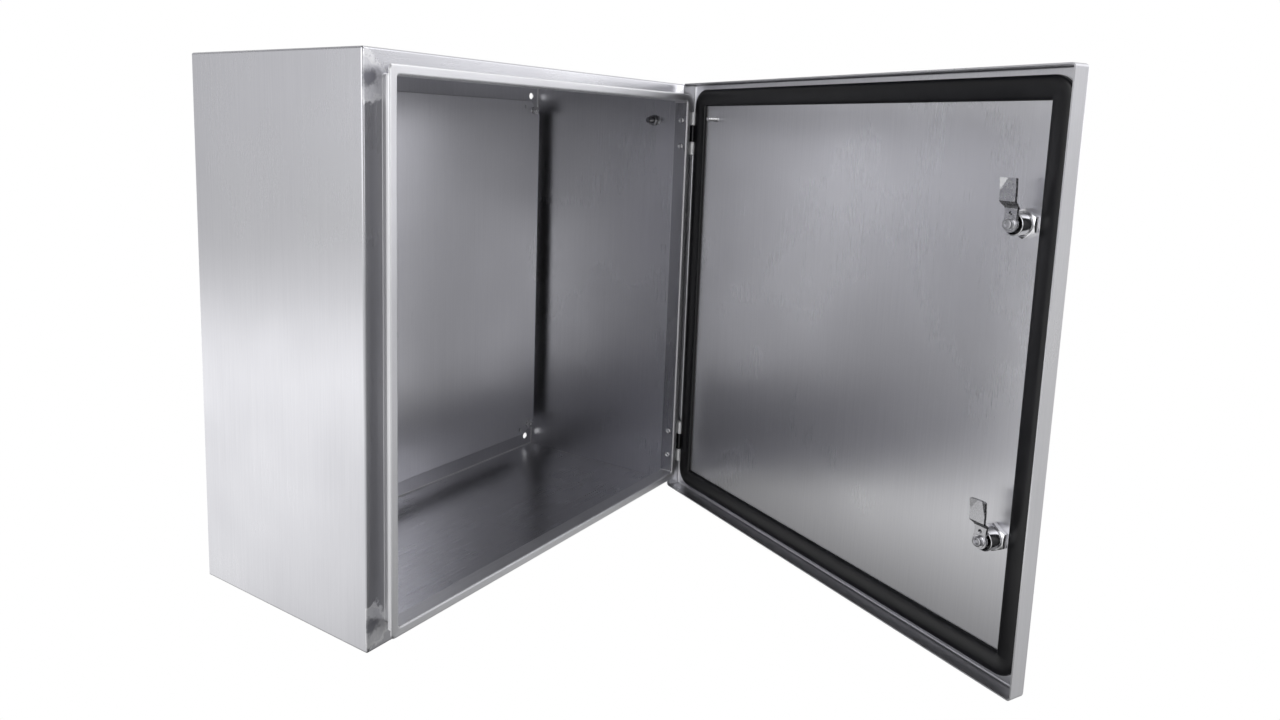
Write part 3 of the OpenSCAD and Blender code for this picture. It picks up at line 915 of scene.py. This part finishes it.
def hinge_arm(side, m):
    """Fixed half: a plate behind the lip, and the middle knuckle rolled from its web."""
    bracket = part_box(side + "_hinge_bracket")
    screw_y = middle(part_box(side + "_hinge_screws")).y
    mid_z = middle(bracket).z
    x, y = HINGE.x, HINGE.y
    bm = bmesh.new()
    x0, x1 = bracket[0].x, bracket[0].x + HINGE_T
    y0, y1 = RIM_Y + HEM - HINGE_T, bracket[1].y
    round_r = 2 * MM
    shape = rounded_rectangle((y1 - y0) / 2, (bracket[1].z - bracket[0].z) / 2, round_r, 5)
    shape = [(u + (y0 + y1) / 2, v + mid_z) for u, v in shape]
    holes = [circle(screw_y, z, M5_R, 24) for z in screw_heights(side)]
    plate(bm, shape, holes, x0, x1, 0.3 * MM, sideways)
    web = x - KNUCKLE_R + MM
    start = 180 - math.degrees(math.acos((x - web) / KNUCKLE_R))
    stop = 180 - math.degrees(math.acos((x - web - HINGE_T) / KNUCKLE_R))
    arm = [(x1, y0), (web, y0)] + arc(x, y, KNUCKLE_R, start, 360 + stop, 28)
    arm += [(web + HINGE_T, y0 + HINGE_T), (x1, y0 + HINGE_T)]
    half = 11.5 * MM
    plate(bm, arm, [circle(x, y, PIN_BORE_R, 24)], mid_z - half, mid_z + half, 0.2 * MM, upright)
    add(side + "_hinge_arm", bm, "cabinet", side + "_hinge_bracket", [m["black"]])


def hinge_wing(side, m):
    """Moving half: two rolled knuckles and the tongue between them, inside the door's edge."""
    wing = shut_box(side + "_hinge_leaf")
    mid_z = middle(wing).z
    x, y = HINGE.x, HINGE.y
    bm = bmesh.new()
    out, inner = wing[1].x, wing[1].x - HINGE_T
    root = wing[0].y
    inner_z = 12.2 * MM
    outer_z = (wing[1].z - wing[0].z) / 2
    strap = y - KNUCKLE_R
    join = -math.degrees(math.asin((KNUCKLE_R - HINGE_T) / KNUCKLE_R))
    knuckle = [(out, root), (out, wing[1].y), (inner, wing[1].y), (inner, strap + HINGE_T)]
    knuckle += arc(x, y, KNUCKLE_R, join, 270, 28)
    knuckle += [(inner, strap), (inner, root)]
    end = y - 0.5 * MM
    tongue = [(inner, root), (out, root), (out, end), (inner, end)]
    hole = circle(x, y, PIN_R, 24)
    for sign in (-1, 1):
        ends = sorted((mid_z + sign * inner_z, mid_z + sign * outer_z))
        plate(bm, knuckle, [hole], ends[0], ends[1], 0.4 * MM, upright)
    plate(bm, tongue, [], mid_z - inner_z, mid_z + inner_z, 0.2 * MM, upright)
    # In the near white hinge steel, a painted highlight
    add(side + "_hinge_wing", bm, "door", side + "_hinge_leaf", [m["hinge"]], SWING)


def hinge_rod(side, m):
    """Pin with domed ends."""
    pin = shut_box(side + "_hinge_pin")
    reach = (pin[1].z - pin[0].z) / 2
    dome = 0.3 * MM
    rod = [(PIN_R - 2 * dome, -reach), (PIN_R - dome / 2, dome - reach), (PIN_R, 2 * dome - reach)]
    rod += [(r, -h) for r, h in reversed(rod)]
    bm = bmesh.new()
    spin(bm, rod, Matrix.Translation((HINGE.x, HINGE.y, middle(pin).z)), 24)
    # In the near white hinge steel, a painted highlight
    add(side + "_hinge_rod", bm, "door", side + "_hinge_pin", [m["hinge"]], SWING)


def hinge_screws(side, m):
    """Two button head screws through the lip, with hexagon sockets."""
    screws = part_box(side + "_hinge_screws")
    lip_x = HALF_W - MOUTH
    high = lip_x - screws[0].x
    socket = hexagon(4 * MM)
    deep = high - 1.2 * MM
    brim = 0.3 * MM
    head = [(M5_R, lip_x - screws[1].x), (M5_R, 0), (HINGE_HEAD_R - 0.2 * MM, 0),
            (HINGE_HEAD_R, brim)]
    head += [(HINGE_HEAD_R - 1.5 * MM * (1 - math.cos(a)), brim + (high - brim) * math.sin(a))
             for a in (math.radians(18 * k) for k in range(1, 6))]
    head += [lambda a: (socket(a) + 0.15 * MM, high), lambda a: (socket(a), high - 0.15 * MM),
             lambda a: (socket(a), deep)]
    bm = bmesh.new()
    for z in screw_heights(side):
        spin(bm, head, facing((lip_x, middle(screws).y, z), "Y", -90), 48)
    add(side + "_hinge_button_screws", bm, "cabinet", side + "_hinge_screws",
        [m["fixing"]])


# ---------------------------------------------------------------- locks

def lock_pieces(side, m):
    """Barrel, gasket and nut on the door, and the core, cam, washer and screw that turn."""
    name = side + "_lock_"
    turning = side + "_lock_turn_body"
    housing = shut_box(name + "housing")
    gasket = shut_box(name + "ring")
    at = middle(housing)
    spot = facing((at.x, 0, at.z), "X", -90)
    chrome = [m["chrome"]]

    def turned(suffix, node, rings, body, materials, hollow, angle=32, sunk=()):
        bm = bmesh.new()
        spin(bm, rings, spot, 96, hollow, sunk)
        add(name + suffix, bm, body, name + node, materials, SWING, angle)

    # Barrel: rounded outside flange, thread relief behind the nut, and a counterbore at the end, its
    # wall and floor black as painted shade
    face, end = housing[0].y, housing[1].y
    flange_r = (housing[1].x - housing[0].x) / 2
    under = gasket[0].y
    c = 0.5 * MM
    rim_r = 1.2 * MM
    rounding = [(flange_r - rim_r * (1 - math.sin(a)), face + rim_r * (1 - math.cos(a)))
                for a in (math.radians(18 * k) for k in range(6))]
    barrel = [(BORE_R + c, face)] + rounding
    barrel += [(flange_r, under - 0.3 * MM), (flange_r - 0.3 * MM, under), (BARREL_R, under)]
    groove = shut_box(name + "nut")[1].y
    waist_r = BARREL_R - 0.5 * MM
    barrel += [(BARREL_R, groove), (waist_r, groove + 0.1 * MM),
               (waist_r, groove + 1.2 * MM), (BARREL_R, groove + 1.5 * MM)]
    mouth_r = BARREL_R - 1.2 * MM
    barrel += [(BARREL_R, end - 0.8 * MM), (BARREL_R - 0.3 * MM, end - 0.2 * MM),
               (BARREL_R - 0.8 * MM, end), (mouth_r, end - 0.3 * MM)]
    # From here the counterbore's bands take the black, painted shade
    shaded_well = len(barrel) - 1
    seat_y = end - 5 * MM
    barrel += [(mouth_r, seat_y), (BORE_R, seat_y), (BORE_R, face + c)]
    turned("barrel", "housing", barrel, "door", chrome + [m["black"]], True,
           sunk=(shaded_well, shaded_well + 1))

    gasket_r = (gasket[1].x - gasket[0].x) / 2
    turned("gasket", "ring", washer(BARREL_R, gasket_r, gasket[0].y, gasket[1].y), "door",
           [m["seal"]], True)
    hexes = shut_box(name + "nut")
    shape = nut(hexes[1].x - hexes[0].x, BARREL_R, hexes[0].y, hexes[1].y, math.pi / 2)
    turned("hex_nut", "nut", shape, "door", chrome, True)

    # Core: double-bit key well in the outside face, square end for the cam
    cam_low, cam_high = shut_box(name + "cam")
    seat = cam_low.y
    core = shut_box(name + "core")
    well, deep = 4.5 * MM, face + 12 * MM

    def key(a):
        return 2 * MM + 1.5 * MM * abs(math.cos(a)) ** 10

    def square(a):
        return 3.5 * MM / max(abs(math.cos(a)), abs(math.sin(a)))

    plug = [lambda a: (key(a) - 0.3 * MM, face + 0.5 * MM), lambda a: (key(a), face + 0.8 * MM),
            lambda a: (key(a), deep), (well, deep), (well, face + 0.4 * MM), (well + 0.4 * MM, face),
            (CORE_R - 0.4 * MM, face), (CORE_R, face + 0.4 * MM), (CORE_R, seat),
            lambda a: (square(a), seat), lambda a: (square(a), core[1].y)]
    turned("plug", "core", plug, turning, chrome, False)

    disc = shut_box(name + "washer")
    turned("disc", "washer", washer(M6_R, (disc[1].x - disc[0].x) / 2, disc[0].y, disc[1].y),
           turning, chrome, True)

    # Cap screw that holds the cam, with a hexagon socket
    bottom, top = (corner.y for corner in shut_box(name + "screw"))
    head_r = 5 * MM
    foot = disc[1].y
    socket = hexagon(5 * MM)
    screw = [(M6_R, bottom), (M6_R, foot), (head_r - 0.2 * MM, foot),
             (head_r, foot + 0.3 * MM), (head_r, top - 0.9 * MM), (head_r - 0.3 * MM, top - 0.3 * MM),
             (head_r - 0.8 * MM, top), (3.5 * MM, top), (3.3 * MM, top - 0.25 * MM),
             lambda a: (socket(a), top - 0.35 * MM), lambda a: (socket(a), top - 2 * MM)]
    turned("socket_screw", "screw", screw, turning, [m["screw"]], False)
    cam_piece(side, m, at, cam_low, cam_high)


def cam_outline(reach, half_w, hub_r):
    """Half outline of the cam, from the hub up to the middle of its tip."""
    hub = arc(0, 0, hub_r, -90, 35, 20)
    neck = [(6.4 * MM, 7 * MM), (6.4 * MM, 9.5 * MM), (6.6 * MM, 12.5 * MM), (7.2 * MM, 15.5 * MM)]
    flare = [(8.1 * MM, 19 * MM), (half_w, 22 * MM)]
    tip = arc(half_w - MM, reach - MM, MM, 0, 90, 4)
    return hub + neck + flare + tip


def cam_piece(side, m, at, low, high):
    """Stepped cam: round hub, waisted neck, joggle, and a blade with its two corners bent up.

    Each crease is a point on it and the direction in which the corner beyond it rises.
    """
    hub_r = 7.8 * MM
    half_w = (high.x - low.x) / 2
    reach = high.z - at.z
    thick, step = 3 * MM, 6.9 * MM
    bend = (15 * MM, 21.5 * MM)
    tilt = math.tan(math.radians(16))
    creases = [(Vector((half_w, reach - 12 * MM)), Vector((12, 8)).normalized()),
               (Vector((-half_w, reach - 14 * MM)), Vector((-14, 4)).normalized())]

    def depth(u, v):
        t = max(0.0, min(1.0, (v - bend[0]) / (bend[1] - bend[0])))
        eased = mix(t, t * t * (3 - 2 * t), 0.6)
        lift = sum(max(0.0, (Vector((u, v)) - p).dot(n)) for p, n in creases)
        return low.y + step * eased + tilt * lift

    bm = bmesh.new()
    half = cam_outline(reach, half_w, hub_r)
    outline = half + [(-u, v) for u, v in reversed(half[1:])]
    hole = circle(0, 10 * MM, 2 * MM, 24)
    loops = [[bm.verts.new((u, 0, v)) for u, v in ring] for ring in (outline, hole)]
    fill(bm, loops)

    def slice_at(point, normal):
        bmesh.ops.bisect_plane(bm, geom=bm.verts[:] + bm.edges[:] + bm.faces[:],
                               plane_co=point, plane_no=normal)

    cuts = 8
    for k in range(cuts + 1):
        slice_at((0, 0, mix(bend[0], bend[1], k / cuts)), (0, 0, 1))
    for p, n in creases:
        slice_at((p.x, 0, p.y), (n.x, 0, n.y))
    border = [tuple(e.verts) for e in bm.edges if e.is_boundary]
    upper = bmesh.ops.duplicate(bm, geom=bm.verts[:] + bm.edges[:] + bm.faces[:])
    for v in bm.verts:
        v.co.y = depth(v.co.x, v.co.z)
    for item in upper["geom"]:
        if isinstance(item, bmesh.types.BMVert):
            item.co.y += thick
    twin = upper["vert_map"]
    for v, w in border:
        bm.faces.new((v, w, twin[w], twin[v]))
    bmesh.ops.translate(bm, vec=(at.x, 0, at.z), verts=bm.verts[:])
    add(side + "_lock_tongue", bm, side + "_lock_turn_body", side + "_lock_cam",
        [m["cam"]], SWING, angle=13, soften=0.6 * MM)


# ---------------------------------------------------------------- studio

# A dim room, and tall soft panels in it: azimuth from +X round by +Y and half width in
# degrees, then the brightness of the lower and of the upper part
ROOM = 0.05
PANELS = (
    (270, 32, 2.6, 0.0),
    (315, 48, 0.0, 1.6),
    (330, 34, 1.9, 0.0),
    (20, 55, 1.1, 0.8),
    (90, 45, 0.0, 0.7),
    (125, 40, 0.6, 0.0),
    (176, 50, 2.1, 2.1)
)
# The ceiling glows on one side: azimuth, half width and brightness
CEILING_PANEL = (315, 130, 0.8)
# Pools of light and of shade on the floor: centre, radius and what each adds
FLOOR = 0.6
POOLS = [((-2.0, 2.4), 2.6, 0.9), ((-2.2, -0.2), 1.9, 0.4), ((-0.9, 0.8), 1.2, 0.3),
         ((1.2, -0.9), 1.3, -0.3)]
# Shade in a strip under the cabinet
POOLS += [((0.3 * step, 0.1 + step), 1.0, -0.6) for step in (-1, 0, 1)]
# Drop from the cabinet to the floor, and the lamp's distance and power
FLOOR_DROP = 0.45
LAMP_REACH = 2.4
LAMP_WATTS = 3.0


class Light(Paint):
    """The same short calls for the nodes of the world and of the floor's glow."""

    def __init__(self, tree):
        self.tree = tree

    def beside(self, turn, azimuth, half, level):
        """Level at an azimuth, fading to none at half degrees to either side; turn is 0 to 1."""
        off = self.sum(self.sum(turn, 0.5 - azimuth / 360), 1.0, "FLOORED_MODULO")
        off = self.sum(self.sum(off, -0.5), 0.0, "ABSOLUTE")
        return self.span(off, 0.0, half / 360, level, 0.0, True)

    def unless_camera(self, shader, seen):
        """Shader for reflections and light, with another one for what the camera sees directly."""
        pick = self.tree.nodes.new("ShaderNodeMixShader")
        path = self.tree.nodes.new("ShaderNodeLightPath")
        self.feed(pick.inputs["Fac"], path.outputs["Is Camera Ray"])
        self.feed(pick.inputs[1], shader)
        self.feed(pick.inputs[2], seen)
        return pick.outputs[0]


def make_camera(scene):
    """Camera at the photograph's viewing angle, in metres in the CAD frame."""
    lens = bpy.data.cameras.new("camera")
    lens.sensor_width = 36
    lens.lens = 25.774
    lens.shift_x = 0.0341
    lens.shift_y = -0.0718
    lens.clip_start = 0.05
    camera = bpy.data.objects.new("camera", lens)
    camera.location = (-0.88078, -0.93818, 0.22764)
    camera.rotation_euler = [math.radians(a) for a in (81.576, -1.698, -55.199)]
    scene.collection.objects.link(camera)
    scene.camera = camera


def make_room(scene):
    """Soft walls and ceiling round the cabinet; the camera itself sees plain white."""
    world = bpy.data.worlds.new("studio")
    scene.world = world
    world.use_nodes = True
    world.node_tree.nodes.clear()
    p = Light(world.node_tree)
    ray = p.tree.nodes.new("ShaderNodeTexCoord").outputs["Generated"]
    split = p.tree.nodes.new("ShaderNodeSeparateXYZ")
    p.feed(split.inputs[0], ray)
    turn = p.sum(p.sum(split.outputs["Y"], split.outputs["X"], "ARCTAN2"), 2 * math.pi, "DIVIDE")
    turn = p.sum(turn, 1.0, "FLOORED_MODULO")
    height = p.sum(split.outputs["Z"], 0.0, "ARCSINE")
    above = p.span(height, math.radians(8), math.radians(22), 0.0, 1.0, True)
    over = p.span(height, math.radians(35), math.radians(60), 0.0, 1.0, True)
    walls = ROOM
    for azimuth, half, low, high in PANELS:
        panel = p.beside(turn, azimuth, half, 1.0)
        walls = p.sum(walls, p.times(panel, p.span(above, 0.0, 1.0, low, high)))
    ceiling = p.sum(p.beside(turn, *CEILING_PANEL), ROOM)
    glow = p.sum(p.times(walls, p.span(over, 0.0, 1.0, 1.0, 0.0)), p.times(ceiling, over))
    room = p.node("ShaderNodeBackground", Color=(0.985, 0.985, 1.0, 1), Strength=glow)
    white = p.node("ShaderNodeBackground", Color=(1, 1, 1, 1), Strength=1.0)
    out = p.tree.nodes.new("ShaderNodeOutputWorld")
    p.feed(out.inputs["Surface"], p.unless_camera(room.outputs[0], white.outputs[0]))


def make_floor(scene):
    """Pale paper floor, with soft pools of light and shade for the steel to mirror."""
    bm = bmesh.new()
    bmesh.ops.create_grid(bm, x_segments=1, y_segments=1, size=12)
    mesh = bpy.data.meshes.new("floor")
    bm.to_mesh(mesh)
    bm.free()
    floor = bpy.data.objects.new("floor", mesh)
    floor.location = (0, 0, cad_box[0].z - FLOOR_DROP)
    scene.collection.objects.link(floor)
    paper = bpy.data.materials.new("floor_paper")
    paper.use_nodes = True
    paper.node_tree.nodes.clear()
    p = Light(paper.node_tree)
    spot = p.tree.nodes.new("ShaderNodeTexCoord").outputs["Object"]
    glow = FLOOR
    for (x, y), radius, change in POOLS:
        reach = p.tree.nodes.new("ShaderNodeVectorMath")
        reach.operation = "DISTANCE"
        p.feed(reach.inputs[0], spot)
        p.feed(reach.inputs[1], (x, y, 0))
        pool = p.span(reach.outputs["Value"], 0.0, radius, change, 0.0, True)
        glow = p.sum(glow, pool)
    darkest = 0.02
    dim = p.node("ShaderNodeEmission", Strength=p.sum(glow, darkest, "MAXIMUM"))
    white = p.node("ShaderNodeEmission", Strength=1.0)
    out = p.tree.nodes.new("ShaderNodeOutputMaterial")
    p.feed(out.inputs["Surface"], p.unless_camera(dim.outputs[0], white.outputs[0]))
    mesh.materials.append(paper)


def softbox(scene, name, azimuth, elevation, size, watts):
    """Square soft light at a direction from the cabinet, facing it; azimuth from +X round by +Y."""
    a, e = math.radians(azimuth), math.radians(elevation)
    away = Vector((math.cos(a) * math.cos(e), math.sin(a) * math.cos(e), math.sin(e)))
    light = bpy.data.lights.new(name, "AREA")
    light.size = size
    light.energy = watts
    lamp = bpy.data.objects.new(name, light)
    lamp.location = away * LAMP_REACH
    lamp.rotation_euler = away.to_track_quat("Z", "Y").to_euler()
    lamp.visible_camera = False
    scene.collection.objects.link(lamp)


def studio():
    """Camera, room, floor and lamp, with colours shown as they are."""
    scene = bpy.context.scene
    scene.view_settings.view_transform = "Standard"
    scene.view_settings.look = "None"
    make_camera(scene)
    make_room(scene)
    make_floor(scene)
    softbox(scene, "top_box", 300, 65, 1.0, LAMP_WATTS)


materials = make_materials()
shell_piece(materials)
rim_piece(materials)
back_piece(materials)
plate_piece(materials)
door_piece(materials)
seal_piece(materials)
plate_fixings(materials)
earth_point(materials)
door_earth(materials)
for level in ("upper", "lower"):
    hinge_pieces(level, materials)
    lock_pieces(level, materials)
studio()
